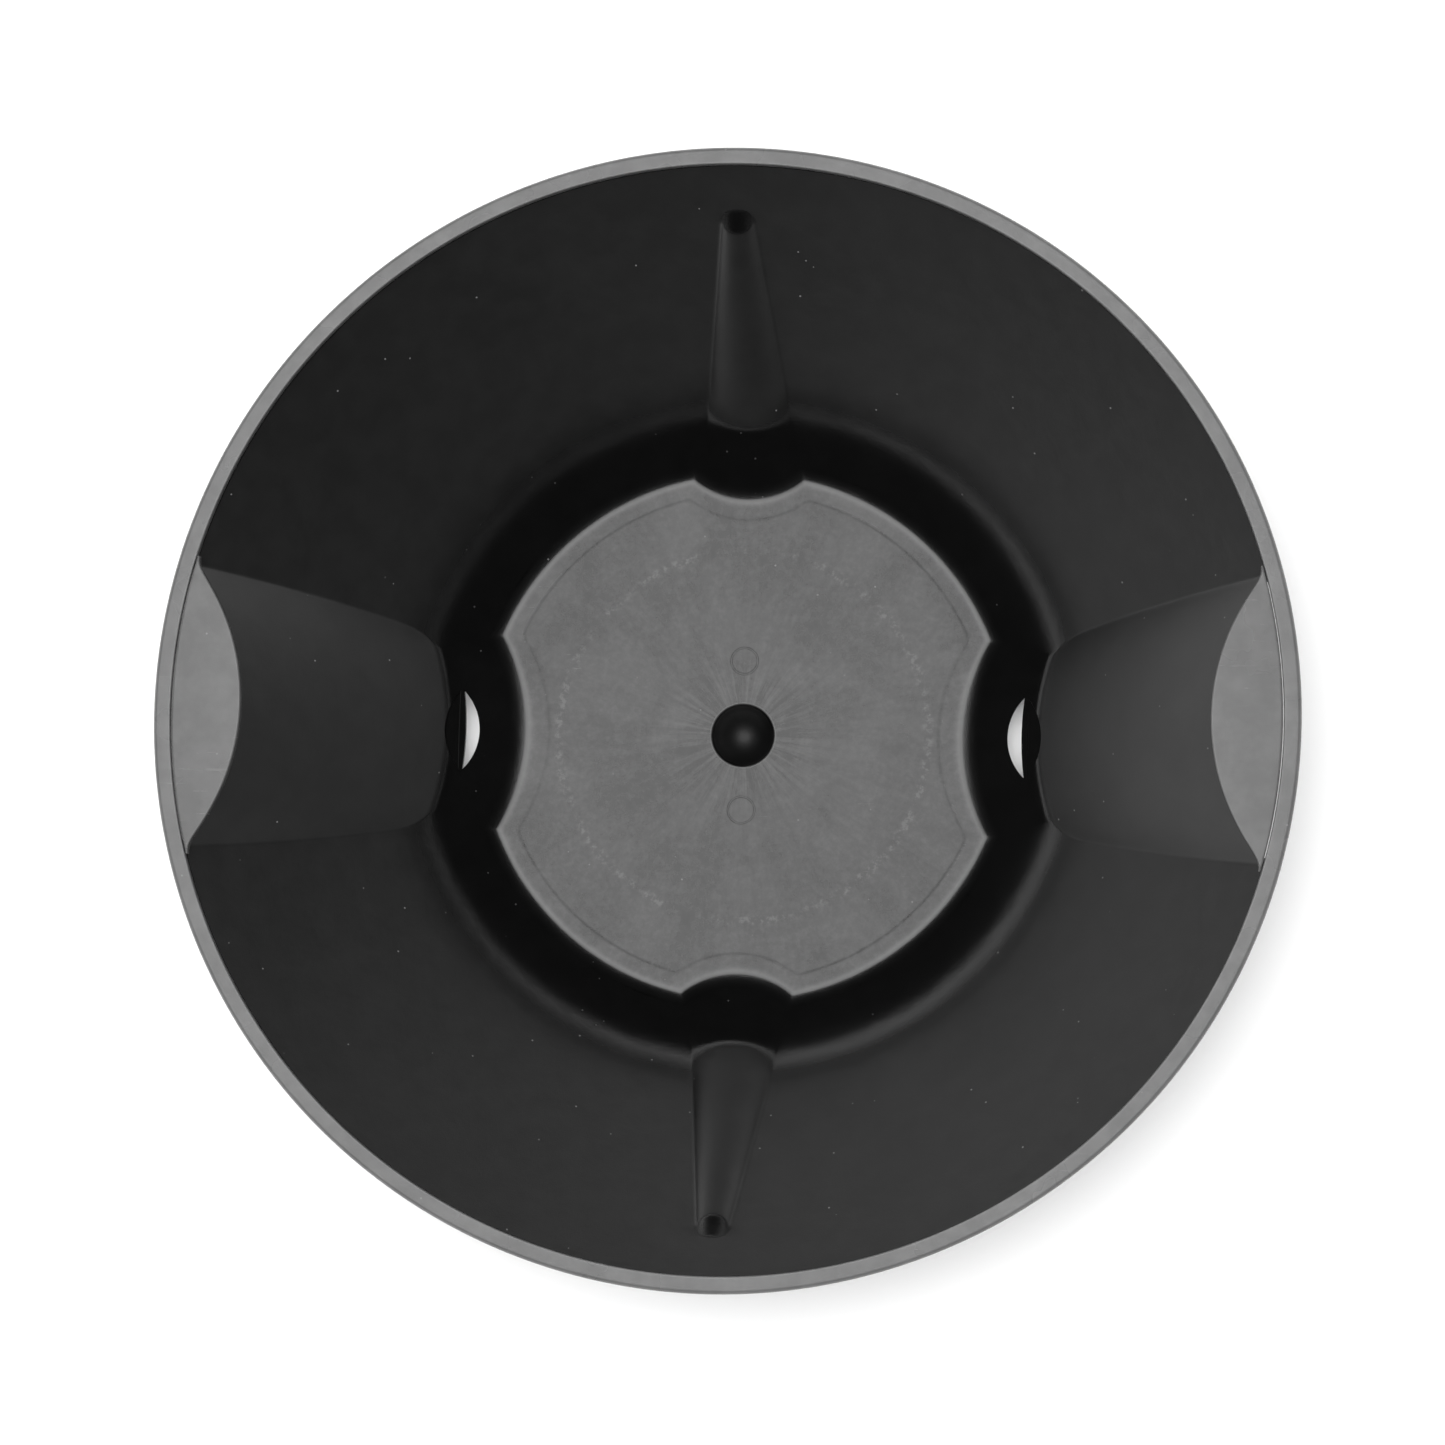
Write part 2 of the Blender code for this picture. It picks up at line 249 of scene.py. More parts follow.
def bulge_arcs(radius, reach, curve, fillet, steps):
    """Half of a bulge on +X with its fillet, from the axis out, and the wall's turn at its end."""
    middle = reach + curve
    place, wall_turn, bulge_turn = touch_points(radius, middle, curve, fillet)
    points = arc((middle, 0.0), curve, math.pi, math.pi - bulge_turn, steps)
    points += arc(place, fillet, -bulge_turn, wall_turn, FILLET_STEPS)
    return points, wall_turn


def rib_shape(height, radius):
    """The rib's reach and half width, with a cap over its tip."""
    reach = bent(height, RIB_BENDS, RIB_SOFTNESS)
    half = bent(height, RIB_HALVES, RIB_SOFTNESS)
    over = (height - RIB_TIP_HEIGHT) / RIB_CAP
    if over <= 0.0:
        return reach, half
    fade = math.sqrt(max(1.0 - over**2, 0.0))
    half = RIB_HALVES[-1][1] * (RIB_CAP_END + (1.0 - RIB_CAP_END) * fade)
    chord = math.sqrt(radius**2 - half**2)
    return chord - (radius - reach) * max(1.0 - over, 0.0), half


def rib_arcs(height, radius, widest):
    """Half of a rib, laid on +X; where the rib has run out, a plain stretch of the wall."""
    reach, half = rib_shape(height, radius)
    depth = math.sqrt(radius**2 - half**2) - reach
    if depth < FLAT_DEPTH:
        turn = math.asin(half / radius)
        return arc((0.0, 0.0), radius, 0.0, turn, RIB_STEPS + FILLET_STEPS), turn
    curve = (half**2 + depth**2) / (2 * depth)
    return bulge_arcs(radius, reach, curve, min(widest, depth / 2), RIB_STEPS)


def quarter(height):
    """Plan points on the bowl's inside from the X axis to the Y axis."""
    radius = bent(height, WALL_BENDS, WALL_SOFTNESS)
    reach = bent(height, CHANNEL_BENDS, CHANNEL_SOFTNESS)
    curve = bent(height, CHANNEL_CURVES, CHANNEL_SOFTNESS)
    widest = VALLEY_FILLET + max(-height, 0.0) * BORDER_FILLET_GROWTH
    channel, start = bulge_arcs(radius, reach, curve, widest, CHANNEL_STEPS)
    rib, rib_turn = rib_arcs(height, radius, widest)
    wall = arc((0.0, 0.0), radius, start, math.pi / 2 - rib_turn, WALL_STEPS, whole=True)
    turned = [(y, x) for x, y in reversed(rib)]
    return np.array(channel + wall + turned)


def section(height):
    """A closed loop of plan points on the bowl's inside at a height above the floor."""
    part = quarter(height)
    second = part[::-1][1:] * (-1, 1)
    third = part[1:] * (-1, -1)
    fourth = part[::-1][1:-1] * (1, -1)
    return np.vstack([part, second, third, fourth])


def row(points, z):
    return np.column_stack([points, np.full(len(points), z)])


def pushed_out(points, distance):
    reach = np.linalg.norm(points, axis=1, keepdims=True)
    return points * (reach + distance) / reach


def circle_under(points):
    """A unit circle with one point at each given point's turn."""
    turns = np.arctan2(points[:, 1], points[:, 0])
    return np.column_stack([np.cos(turns), np.sin(turns)])


def rounded(corner, radius, first, last, steps=5):
    """Profile points round a corner, about its centre, between two turns in degrees."""
    turns = np.radians(np.linspace(first, last, steps))
    return [(corner[0] + radius * math.cos(a), corner[1] + radius * math.sin(a)) for a in turns]


def turned_rows(profile, steps):
    turns = np.linspace(0, math.tau, steps, endpoint=False)
    circle = np.column_stack([np.cos(turns), np.sin(turns)])
    return [row(circle * radius, z) for radius, z in profile]


def row_normals(rows):
    """Unit normals of a grid of rows, pointing out of the bowl."""
    grid = np.array(rows)
    along = np.roll(grid, -1, axis=1) - np.roll(grid, 1, axis=1)
    down = np.gradient(grid, axis=0)
    normal = np.cross(down, along)
    return normal / np.linalg.norm(normal, axis=2, keepdims=True).clip(min=1e-12)


def lattice(name, rows, close=False):
    """A mesh through closed rows of points: it joins its last row to its first, or caps both."""
    count = len(rows[0])
    verts = [tuple(point) for points in rows for point in points]
    loops = [(j, (j + 1) % count) for j in range(count)]
    faces = []
    for i in range(len(rows) if close else len(rows) - 1):
        top = i * count
        under = ((i + 1) % len(rows)) * count
        faces += [(top + j, top + k, under + k, under + j) for j, k in loops]
    if not close:
        first = len(verts)
        last = (len(rows) - 1) * count
        verts += [tuple(np.mean(rows[0], axis=0)), tuple(np.mean(rows[-1], axis=0))]
        faces += [(k, j, first) for j, k in loops]
        faces += [(last + j, last + k, first + 1) for j, k in loops]
    mesh = bpy.data.meshes.new(name)
    mesh.from_pydata(verts, [], faces)
    mesh.update()
    return mesh


def linked(name, data):
    item = bpy.data.objects.new(name, data)
    bpy.context.scene.collection.objects.link(item)
    return item


def placed(name, mesh, material, node):
    """A visible piece that stands in for one CAD node."""
    item = linked(name, mesh)
    mesh.materials.append(material)
    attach(item, "root")
    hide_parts(node)
    return item


def tidy_normals(mesh, angle):
    """Faces turned outwards and shaded smooth, with edges above the angle kept sharp."""
    build = bmesh.new()
    build.from_mesh(mesh)
    bmesh.ops.recalc_face_normals(build, faces=build.faces)
    build.to_mesh(mesh)
    build.free()
    mesh.shade_smooth()
    mesh.set_sharp_from_angle(angle=math.radians(angle))


# ---------------------------------------------------------------- materials


def grey(value):
    return (value, value, value, 1.0)


class Nodes:
    """Short calls that add and link the nodes of one node tree."""

    def __init__(self, tree):
        self.tree = tree

    def put(self, socket, value):
        if isinstance(value, bpy.types.NodeSocket):
            self.tree.links.new(value, socket)
        else:
            socket.default_value = value

    def add(self, kind, **inputs):
        """A new node with its named inputs set or linked; an underscore stands for a space."""
        node = self.tree.nodes.new(kind)
        for name, value in inputs.items():
            self.put(node.inputs[name.replace("_", " ")], value)
        return node

    def math(self, operation, first, second=0.0):
        node = self.tree.nodes.new("ShaderNodeMath")
        node.operation = operation
        self.put(node.inputs[0], first)
        self.put(node.inputs[1], second)
        return node.outputs[0]

    def sum(self, *values):
        total = values[0]
        for value in values[1:]:
            total = self.math("ADD", total, value)
        return total

    def product(self, *values):
        total = values[0]
        for value in values[1:]:
            total = self.math("MULTIPLY", total, value)
        return total

    def place(self):
        return self.add("ShaderNodeTexCoord").outputs["Object"]

    def facing(self):
        return self.add("ShaderNodeNewGeometry").outputs["Normal"]

    def split(self, vector):
        return self.add("ShaderNodeSeparateXYZ", Vector=vector).outputs

    def join(self, x, y, z):
        return self.add("ShaderNodeCombineXYZ", X=x, Y=y, Z=z).outputs[0]

    def noise(self, vector, scale, detail, roughness=0.5, distortion=0.0):
        shape = {"Scale": scale, "Detail": detail, "Roughness": roughness, "Distortion": distortion}
        return self.add("ShaderNodeTexNoise", Vector=vector, **shape).outputs["Fac"]

    def cells(self, vector, scale):
        return self.add("ShaderNodeTexVoronoi", Vector=vector, Scale=scale).outputs

    def span(self, value, low, high, to_low=0.0, to_high=1.0):
        """A smooth step from one value to another between two levels."""
        levels = {"From Min": low, "From Max": high, "To Min": to_low, "To Max": to_high}
        node = self.add("ShaderNodeMapRange", Value=value, **levels)
        node.interpolation_type = "SMOOTHSTEP"
        return node.outputs["Result"]

    def fade(self, value, full, none):
        """1 up to the first level, and 0 from the second."""
        return self.span(value, full, none, 1.0, 0.0)

    def blend(self, share, first, second):
        node = self.tree.nodes.new("ShaderNodeMix")
        node.data_type = "RGBA"
        for name, value in (("Factor", share), ("A", first), ("B", second)):
            self.put(node.inputs[name], value)
        return node.outputs["Result"]

    def away(self, value, middle):
        return self.math("ABSOLUTE", self.math("SUBTRACT", value, middle))

    def distance(self, x, y, middle):
        """The plan distance from a point."""
        across = self.math("POWER", self.math("SUBTRACT", x, middle[0]), 2.0)
        along = self.math("POWER", self.math("SUBTRACT", y, middle[1]), 2.0)
        return self.math("SQRT", self.sum(across, along))

    def leaning(self, amount):
        """The surface's normal turned a little towards straight up, or away where it is negative."""
        added = self.tree.nodes.new("ShaderNodeVectorMath")
        added.operation = "ADD"
        self.put(added.inputs[0], self.facing())
        self.put(added.inputs[1], self.join(0.0, 0.0, amount))
        unit = self.tree.nodes.new("ShaderNodeVectorMath")
        unit.operation = "NORMALIZE"
        self.put(unit.inputs[0], added.outputs["Vector"])
        return unit.outputs["Vector"]

    def bump(self, height, distance, normal=None):
        node = self.add("ShaderNodeBump", Height=height, Distance=distance)
        if normal is not None:
            self.put(node.inputs["Normal"], normal)
        return node.outputs["Normal"]


def flow_and_wear(n, place, reach, turn, on_floor):
    """Cloudy wear and flow lines round the gate: shares of wear, and a change of gloss."""
    rays = n.noise(n.join(n.product(turn, 9.0), n.product(reach, 18.0), 0.0), 1.0, detail=5.0, roughness=0.7)
    rays = n.product(n.span(rays, 0.35, 0.65, -1.0, 1.0), n.span(reach, 0.012, 0.034, 1.0, 0.25))
    patches = n.noise(place, 38.0, detail=5.0, roughness=0.65, distortion=0.6)
    brushed = n.noise(place, 420.0, detail=6.0, roughness=0.75)
    ring = n.fade(n.away(reach, SCUFF_RING), 0.0002, 0.0022)
    ring = n.product(ring, n.span(brushed, 0.48, 0.66), n.span(patches, 0.38, 0.62), 1.2)
    clouds = n.sum(n.span(patches, 0.3, 0.7, 0.0, 0.45), n.product(rays, 0.30))
    clouds = n.sum(clouds, n.span(brushed, 0.35, 0.80, 0.0, 0.35))
    wear = n.math("MAXIMUM", n.product(on_floor, n.sum(ring, clouds)), 0.0)
    gloss = n.sum(n.product(rays, 0.02), n.span(patches, 0.3, 0.7, -0.01, 0.05))
    return wear, n.product(on_floor, gloss)


def moulded_floor(n, place, color, shine):
    """The floor's own marks: wear, pin marks, discs and the border's lines, and a painted highlight round
    the gate's pit.
    """
    x, y, z = n.split(place)
    reach = n.distance(x, y, (0.0, 0.0))
    past_pit = n.span(reach, PIT_RADIUS + 0.0001, PIT_RADIUS + 0.0007)
    on_floor = n.product(n.fade(z, FLOOR_Z + 0.00010, FLOOR_Z + 0.00035), past_pit)
    wear, gloss = flow_and_wear(n, place, reach, n.math("ARCTAN2", y, x), on_floor)
    color = n.blend(wear, color, grey(WEAR_GREY))
    shine = n.sum(shine, gloss)
    relief = 0.0
    for middle in PIN_PLACES:
        edge = n.fade(n.away(n.distance(x, y, middle), PIN_RADIUS), 0.0001, 0.0004)
        relief = n.sum(relief, edge)
        color = n.blend(n.product(edge, 0.5), color, grey(WEAR_GREY))
    for middle in DISC_PLACES:
        disc = n.fade(n.distance(x, y, middle), 0.0058, 0.0068)
        shine = n.sum(shine, n.product(disc, 0.025))
    # Painted highlight: a lighter ring round the pit's rounded edge
    pit_edge_highlight = n.fade(n.away(reach, PIT_HIGHLIGHT_RING), 0.0001, 0.0005)
    color = n.blend(n.product(pit_edge_highlight, 0.35), color, grey(PIT_EDGE_HIGHLIGHT_GREY))
    far_out = n.span(reach, BORDER_INNER, BORDER_OUTER)
    outline = n.product(n.fade(n.away(z, FLOOR_Z + 0.00022), 0.00004, 0.00020), far_out)
    color = n.blend(n.product(outline, 0.35), color, grey(OUTLINE_GREY))
    border = n.product(n.fade(z, FLOOR_Z - 0.00005, FLOOR_Z - 0.00002), far_out)
    shine = n.sum(shine, n.product(border, 0.03))
    return color, shine, relief


def bowl_stages(n, place, color, shine, rougher):
    """Rougher walls and pit, a smooth lower stage, painted shade on the lower stage and in the pit, and the
    lean of their sheen.
    """
    color, shine, relief = moulded_floor(n, place, color, shine)
    height = n.split(place)[2]
    steep = n.fade(n.split(n.facing())[2], 0.74, 0.93)
    up_wall = n.product(steep, n.span(height, FLOOR_Z + 0.003, FLOOR_Z + 0.004))
    in_pit = n.fade(height, FLOOR_Z - 0.0010, FLOOR_Z - 0.0004)
    off_floor = n.span(height, FLOOR_Z + 0.0002, FLOOR_Z + 0.0015)
    on_stage = n.math("MAXIMUM", n.math("SUBTRACT", off_floor, up_wall), 0.0)
    shine = n.sum(shine, n.product(up_wall, rougher), n.product(in_pit, 0.22))
    shine = n.math("SUBTRACT", shine, n.product(on_stage, 0.04))
    # Painted shade: the lower stage and the pit are blended towards a near-black grey
    color = n.blend(n.product(n.math("MAXIMUM", on_stage, in_pit), 0.7), color, grey(PAINTED_SHADE_GREY))
    lean = n.math("SUBTRACT", n.product(up_wall, WALL_LIFT), n.product(on_stage, STAGE_LEAN))
    return color, shine, n.bump(relief, 0.00005, n.leaning(lean))


def worn_plastic(name, base, worn, roughness, index, wall_roughness=None):
    """Black satin plastic with moulded grain, cloudy gloss, fine scuffs and dust; with a wall roughness,
    also the bowl's stages with their painted shade.
    """
    material = bpy.data.materials.new(name)
    material.use_nodes = True
    shader = material.node_tree.nodes["Principled BSDF"]
    n = Nodes(material.node_tree)
    place = n.place()
    cloud = n.noise(place, 14.0, detail=4.0, roughness=0.6)
    mottle = n.noise(place, 120.0, detail=3.0, roughness=0.6)
    grain = n.noise(place, 2600.0, detail=2.0)
    x, y, z = n.split(place)
    stretched = n.join(n.product(x, 60.0), n.product(y, 900.0), n.product(z, 300.0))
    streak = n.noise(stretched, 1.0, detail=4.0, roughness=0.7)
    scuff = n.product(n.span(streak, 0.60, 0.78), n.span(cloud, 0.45, 0.7))
    specks = n.cells(place, 420.0)
    picked = n.span(n.split(specks["Color"])[0], 0.975, 0.98)
    dust = n.product(n.fade(specks["Distance"], 0.10, 0.16), picked)
    color = n.blend(n.span(mottle, 0.3, 0.75), grey(base), grey(worn))
    color = n.blend(n.product(scuff, 0.3), color, grey(worn * 3.0))
    color = n.blend(n.product(dust, 0.4), color, grey(DUST_GREY))
    shine = n.span(cloud, 0.3, 0.7, roughness - 0.02, roughness + 0.03)
    shine = n.sum(shine, n.product(scuff, 0.06))
    normal = None
    if wall_roughness:
        color, shine, normal = bowl_stages(n, place, color, shine, wall_roughness - roughness)
    normal = n.bump(mottle, 0.00006, n.bump(grain, 0.00002, normal))
    n.put(shader.inputs["Base Color"], color)
    n.put(shader.inputs["Roughness"], shine)
    n.put(shader.inputs["Normal"], normal)
    shader.inputs["IOR"].default_value = index
    return material


# ---------------------------------------------------------------- the bowl


def wall_heights():
    """Heights above the floor of the wall's rows, from the edge down."""
    bands = [np.linspace(*band) for band in (TIP_BAND, UPPER_BAND, SHOULDER_BAND, LOWER_BAND)]
    return np.unique(np.round(np.concatenate(bands), 6))[::-1]


def cove_rows():
    """Rows that curve from the lower stage onto the floor, then the floor's sunk border."""
    rows = []
    for share in np.linspace(*COVE_BAND):
        rise = COVE_SOFTNESS * math.log1p(math.exp(share))
        rows.append(row(section(COVE_SOFTNESS * share), FLOOR_Z + rise))
    for share, drop in BORDER_ROWS:
        rows.append(row(section(-BORDER_REACH * share), FLOOR_Z - BORDER_DROP * drop))
    return rows


def floor_rows():
    """Rows from the scalloped border in to the pit's middle."""
    inside = section(-BORDER_REACH * BORDER_ROWS[-1][0])
    circle = circle_under(inside)
    eased = (inside * FLOOR_EASE_SCALE + circle * FLOOR_EASE_RADIUS) / 2
    rows = [row(eased, FLOOR_Z)]
    rows += [row(circle * radius, FLOOR_Z) for radius in FLOOR_RADII]
    rows.append(row(circle * (PIT_RADIUS + PIT_COLLAR), FLOOR_Z))
    rows += [row(circle * (PIT_RADIUS + out), FLOOR_Z - drop) for out, drop in PIT_EDGE_ROWS]
    sphere = (PIT_RADIUS**2 + PIT_DEPTH**2) / (2 * PIT_DEPTH)
    for share in PIT_SHARES:
        radius = PIT_RADIUS * share
        drop = math.sqrt(sphere**2 - radius**2) - (sphere - PIT_DEPTH)
        rows.append(row(circle * radius, FLOOR_Z - max(drop, PIT_EDGE_LOW)))
    return rows


def foot_rows():
    """Rows down the standing wall, up its inside, and across the floor's underside."""
    outline = section(0.0)
    steps = (
        (0.0, FOOT_HEIGHT - FOOT_JOIN),
        (0.0, FOOT_SIDE_LOW),
        (-FOOT_SOFT_STEP, FOOT_SOFT_HEIGHT),
        (-FOOT_ROUND, 0.0),
        (-WALL + FOOT_ROUND, 0.0),
        (-WALL + FOOT_SOFT_STEP, FOOT_SOFT_HEIGHT),
        (-WALL, FOOT_SIDE_LOW),
        (-WALL, FOOT_HEIGHT - FOOT_ROUND),
        (-WALL - FOOT_ROUND, FOOT_HEIGHT),
    )
    rows = [row(pushed_out(outline, out), z) for out, z in steps]
    circle = circle_under(outline)
    rows += [row(circle * radius, FOOT_HEIGHT) for radius in UNDERSIDE_RADII]
    for share in BOSS_SHARES:
        drop = (PIT_DEPTH - BOSS_TRIM) * (1 - share**2)
        rows.append(row(circle * (PIT_RADIUS + PIT_COLLAR) * share, FOOT_HEIGHT - drop))
    return rows


def flange_rows():
    """Rows round the flange, from its underside to its top edge."""
    edge = section(EDGE_HEIGHT)
    low = FLANGE_Z - WALL
    steps = (
        (FLANGE_START, low),
        (FLANGE_WIDTH - FLANGE_ROUND, low),
        (FLANGE_WIDTH, low + FLANGE_ROUND),
        (FLANGE_WIDTH, FLANGE_Z - FLANGE_ROUND),
        (FLANGE_WIDTH - FLANGE_ROUND, FLANGE_Z),
    )
    return [row(pushed_out(edge, out), z) for out, z in steps]


def slot_outline(side):
    """The slot in plan: an arc towards the floor, and a slightly bowed side away from it."""
    curve = (SLOT_HALF**2 + SLOT_WIDTH**2) / (2 * SLOT_WIDTH)
    sweep = math.asin(SLOT_HALF / curve)
    turns = np.linspace(-sweep, sweep, SLOT_INNER_POINTS)
    inner = [(SLOT_REACH + curve - curve * math.cos(a), curve * math.sin(a)) for a in turns]
    back = SLOT_REACH + SLOT_WIDTH
    ys = np.linspace(SLOT_HALF, -SLOT_HALF, SLOT_OUTER_POINTS)[1:-1]
    outer = [(back - SLOT_BOW * (1 - (y / SLOT_HALF) ** 2), y) for y in ys]
    return [(side * x, y) for x, y in inner + outer]


def shelf_outline(side):
    """The lens beyond the slot's straight side, out to a shallow arc."""
    back = SLOT_REACH + SLOT_WIDTH + SLOT_BOW
    curve = (SLOT_HALF**2 + SHELF_WIDTH**2) / (2 * SHELF_WIDTH)
    sweep = math.asin(SLOT_HALF / curve)
    middle = back + SHELF_WIDTH - curve
    turns = np.linspace(-sweep, sweep, SHELF_POINTS)
    return [(side * (middle + curve * math.cos(a)), curve * math.sin(a)) for a in turns]


def prism(name, outline, low, rise=0.0):
    """An upright cutter whose lower face climbs outwards at a given rise."""
    build = bmesh.new()
    start = min(abs(x) for x, y in outline)
    verts = [build.verts.new((x, y, low + rise * (abs(x) - start))) for x, y in outline]
    made = bmesh.ops.extrude_face_region(build, geom=[build.faces.new(verts)])
    for part in made["geom"]:
        if isinstance(part, bmesh.types.BMVert):
            part.co.z = CUTTER_HIGH
    bmesh.ops.recalc_face_normals(build, faces=build.faces)
    mesh = bpy.data.meshes.new(name)
    build.to_mesh(mesh)
    build.free()
    return linked(name, mesh)


def cut_slots(item):
    """Both drain slots and the steps beyond them, cut into the bowl's mesh."""
    cutters = []
    for side in (-1, 1):
        cutters.append(prism("slot_cutter", slot_outline(side), CUTTER_LOW))
        cutters.append(prism("shelf_cutter", shelf_outline(side), FLOOR_Z + SHELF_HEIGHT, SHELF_RISE))
    for cutter in cutters:
        cut = item.modifiers.new("slot", "BOOLEAN")
        cut.operation = "DIFFERENCE"
        cut.solver = "EXACT"
        cut.object = cutter
    bpy.context.view_layer.update()
    graph = bpy.context.evaluated_depsgraph_get()
    mesh = bpy.data.meshes.new_from_object(item.evaluated_get(graph))
    item.modifiers.clear()
    item.data = mesh
    for cutter in cutters:
        bpy.data.objects.remove(cutter, do_unlink=True)


def make_shell():
    wall = [row(section(h), FLOOR_Z + h) for h in wall_heights()]
    inner = wall + cove_rows() + floor_rows()
    normals = row_normals(inner)
    under = [points + WALL * out for points, out in zip(wall, normals)]
    flange_low = FLANGE_Z - WALL - FLANGE_CLEAR
    under = [points for points in under if points[:, 2].max() < flange_low]
    rows = foot_rows()[::-1] + under[::-1] + flange_rows() + inner
    mesh = lattice("pan_shell", rows)
    tidy_normals(mesh, BOWL_SHARP)
    material = worn_plastic("bowl_black_plastic", **BOWL_LOOK)
    cut_slots(placed("pan_shell", mesh, material, "pan_body"))


# ---------------------------------------------------------------- the rim


def make_rim():
    """A flat band with a rounded outer edge and a skirt, turned about the axis."""
    low = RING_BOTTOM
    skirt = RIM_RADIUS - RING_WALL
    inner_round = (RING_INNER + RIM_INNER_ROUND, RIM_Z - RIM_INNER_ROUND)
    outer_round = (RIM_RADIUS - RIM_OUTER_ROUND, RIM_Z - RIM_OUTER_ROUND)
    plate_round = (RING_INNER + RIM_PLATE_ROUND, PLATE_BOTTOM + RIM_PLATE_ROUND)
    profile = rounded(inner_round, RIM_INNER_ROUND, 180, 90)
    profile += [(RING_INNER + RIM_INNER_FLAT, RIM_Z), (RIM_RADIUS - RIM_OUTER_FLAT, RIM_Z)]
    profile += rounded(outer_round, RIM_OUTER_ROUND, 90, 0, 8)
    profile += [(RIM_RADIUS, RIM_Z - RIM_SIDE_TOP), (RIM_RADIUS, low + RIM_SIDE_BOTTOM)]
    profile += rounded((RIM_RADIUS - RIM_SKIRT_ROUND, low + RIM_SKIRT_ROUND), RIM_SKIRT_ROUND, 0, -90)
    profile += rounded((skirt + RIM_SKIRT_ROUND, low + RIM_SKIRT_ROUND), RIM_SKIRT_ROUND, -90, -180)
    profile += [(skirt, PLATE_BOTTOM - RIM_SKIRT_CORNER), (skirt - RIM_SKIRT_CORNER, PLATE_BOTTOM)]
    profile += rounded(plate_round, RIM_PLATE_ROUND, -90, -180, 3)
    mesh = lattice("rim_band", turned_rows(profile, RIM_STEPS), close=True)
    tidy_normals(mesh, RIM_SHARP)
    # Painted reflection: the rim's black plastic is given a lighter grey for the overhead light on its flat
    # top
    material = worn_plastic("rim_black_plastic", **RIM_PAINTED_LIGHT_LOOK)
    placed("rim_band", mesh, material, "rim_ring")


def grip_edges(y):
    """The plan distances from the Y axis of a grip's hollow side and its ring side."""
    curve = CHANNEL_CURVES[-1][1]
    ring = math.sqrt((RING_INNER - GAP) ** 2 - y**2)
    hollow = CHANNEL_BENDS[-1][1] + curve - math.sqrt(curve**2 - y**2)
    return 0.5 * (hollow + ring) - 0.5 * math.hypot(hollow - ring, GRIP_BLEND), ring


def grip_section(y, side):
    """A closed loop round the grip at one distance along it, with rounded top corners."""
    near, far = grip_edges(y)
    corner = min(GRIP_ROUND, (far - near) * GRIP_ROUND_SHARE)
    inset = corner * GRIP_FLAT_START + (far - near) * GRIP_FLAT_SHARE
    profile = [(near, PLATE_BOTTOM)]
    profile += rounded((near + corner, RIM_Z - corner), corner, 180, 90)
    profile += [(near + inset, RIM_Z), (far - inset, RIM_Z)]
    profile += rounded((far - corner, RIM_Z - corner), corner, 90, 0)
    profile += [(far, PLATE_BOTTOM)]
    return np.array([(side * x, y, z) for x, z in profile])


def make_grip(side, name, node):
    turns = np.linspace(-math.pi / 2, math.pi / 2, GRIP_ROWS)
    rows = [grip_section(y, side) for y in GRIP_HALF * np.sin(turns)]
    mesh = lattice(name, rows)
    tidy_normals(mesh, RIM_SHARP)
    # Painted reflection: the grip's black plastic is given a lighter grey for the overhead light on its flat
    # top
    material = worn_plastic(name + "_black_plastic", **GRIP_PAINTED_LIGHT_LOOK)
    placed(name, mesh, material, node)


# ---------------------------------------------------------------- stage


def pale_floor():
    material = bpy.data.materials.new("pale_floor")
    material.use_nodes = True
    shader = material.node_tree.nodes["Principled BSDF"]
    n = Nodes(material.node_tree)
    tone = n.noise(n.place(), 3.0, detail=2.0)
    n.put(shader.inputs["Base Color"], n.blend(tone, grey(STAGE_GREY), grey(STAGE_GREY * STAGE_SHADE)))
    shader.inputs["Roughness"].default_value = 0.9
    return material


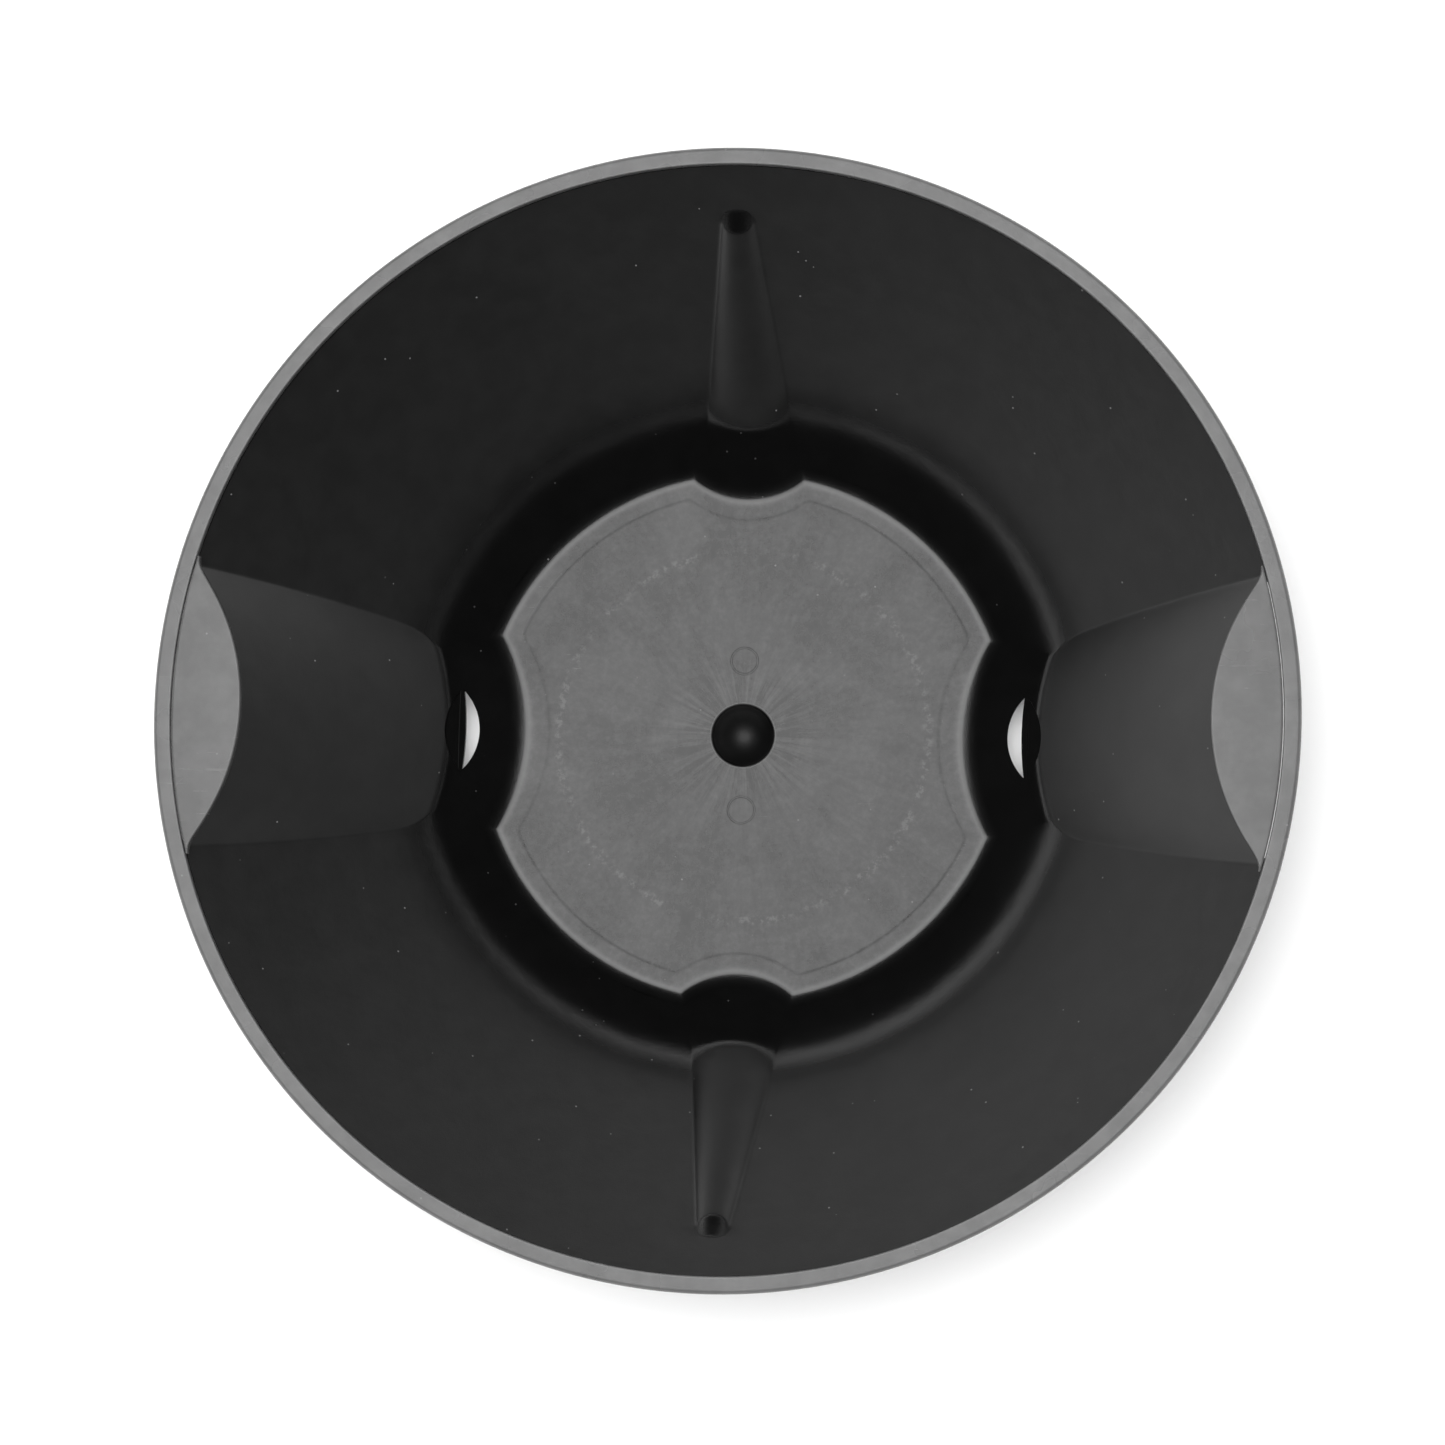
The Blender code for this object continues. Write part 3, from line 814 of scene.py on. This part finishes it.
def make_stage():
    corners = [(-1, -1), (1, -1), (1, 1), (-1, 1)]
    mesh = bpy.data.meshes.new("studio_floor")
    mesh.from_pydata([(x * STAGE_HALF, y * STAGE_HALF, 0) for x, y in corners], [], [(0, 1, 2, 3)])
    mesh.materials.append(pale_floor())
    floor = linked("studio_floor", mesh)
    floor.location.z = -STAGE_DROP


def soft_light(name, place, target, size, power):
    data = bpy.data.lights.new(name, "AREA")
    data.shape = "DISK"
    data.size = size
    data.energy = power
    item = linked(name, data)
    item.location = place
    aim = item.location.copy()
    aim.x, aim.y, aim.z = (t - p for t, p in zip(target, place))
    item.rotation_euler = aim.to_track_quat("-Z", "Y").to_euler()
    return item


def make_world():
    """A room that is bright low down on one side, and dark between there and the lamp."""
    world = bpy.data.worlds.new("studio")
    bpy.context.scene.world = world
    world.use_nodes = True
    n = Nodes(world.node_tree)
    x, y, z = n.split(n.add("ShaderNodeTexCoord").outputs["Generated"])
    side = n.sum(n.product(x, -WORLD_TILT), n.product(y, WORLD_TILT * WORLD_TILT_SHARE))
    low = n.math("MAXIMUM", n.sum(side, WORLD_LOW), WORLD_LEAST)
    slanted = n.product(n.math("SUBTRACT", y, x), WORLD_SLANT)
    share = n.span(n.sum(z, slanted), *WORLD_FADE)
    below = n.product(low, n.math("SUBTRACT", 1.0, share))
    back = n.tree.nodes["Background"]
    back.inputs["Color"].default_value = grey(1.0)
    n.put(back.inputs["Strength"], n.sum(below, n.product(share, WORLD_HIGH)))


def make_lights():
    make_world()
    soft_light("overhead", place=(-0.18, 0.18, 1.7), target=(0.0, 0.0, 0.08), size=1.0, power=8.8)
    fill = soft_light("floor_fill", place=(0.0, 0.0, 4.3), target=(0.0, 0.0, 0.0), size=5.0, power=250.0)
    fill.visible_glossy = False


def make_camera():
    data = bpy.data.cameras.new("camera")
    data.sensor_width = 36.0
    data.lens = 77.94
    data.shift_x = -0.0675
    data.shift_y = 0.0349
    item = linked("camera", data)
    item.location = (0.1053, -0.1062, 1.0329)
    item.rotation_euler = (0.0929, 0.0753, 0.0218)
    bpy.context.scene.camera = item


make_shell()
make_rim()
make_grip(1, "right_grip", "right_grip_plate")
make_grip(-1, "left_grip", "left_grip_plate")
make_stage()
make_lights()
make_camera()
bpy.context.scene.view_settings.view_transform = "Standard"
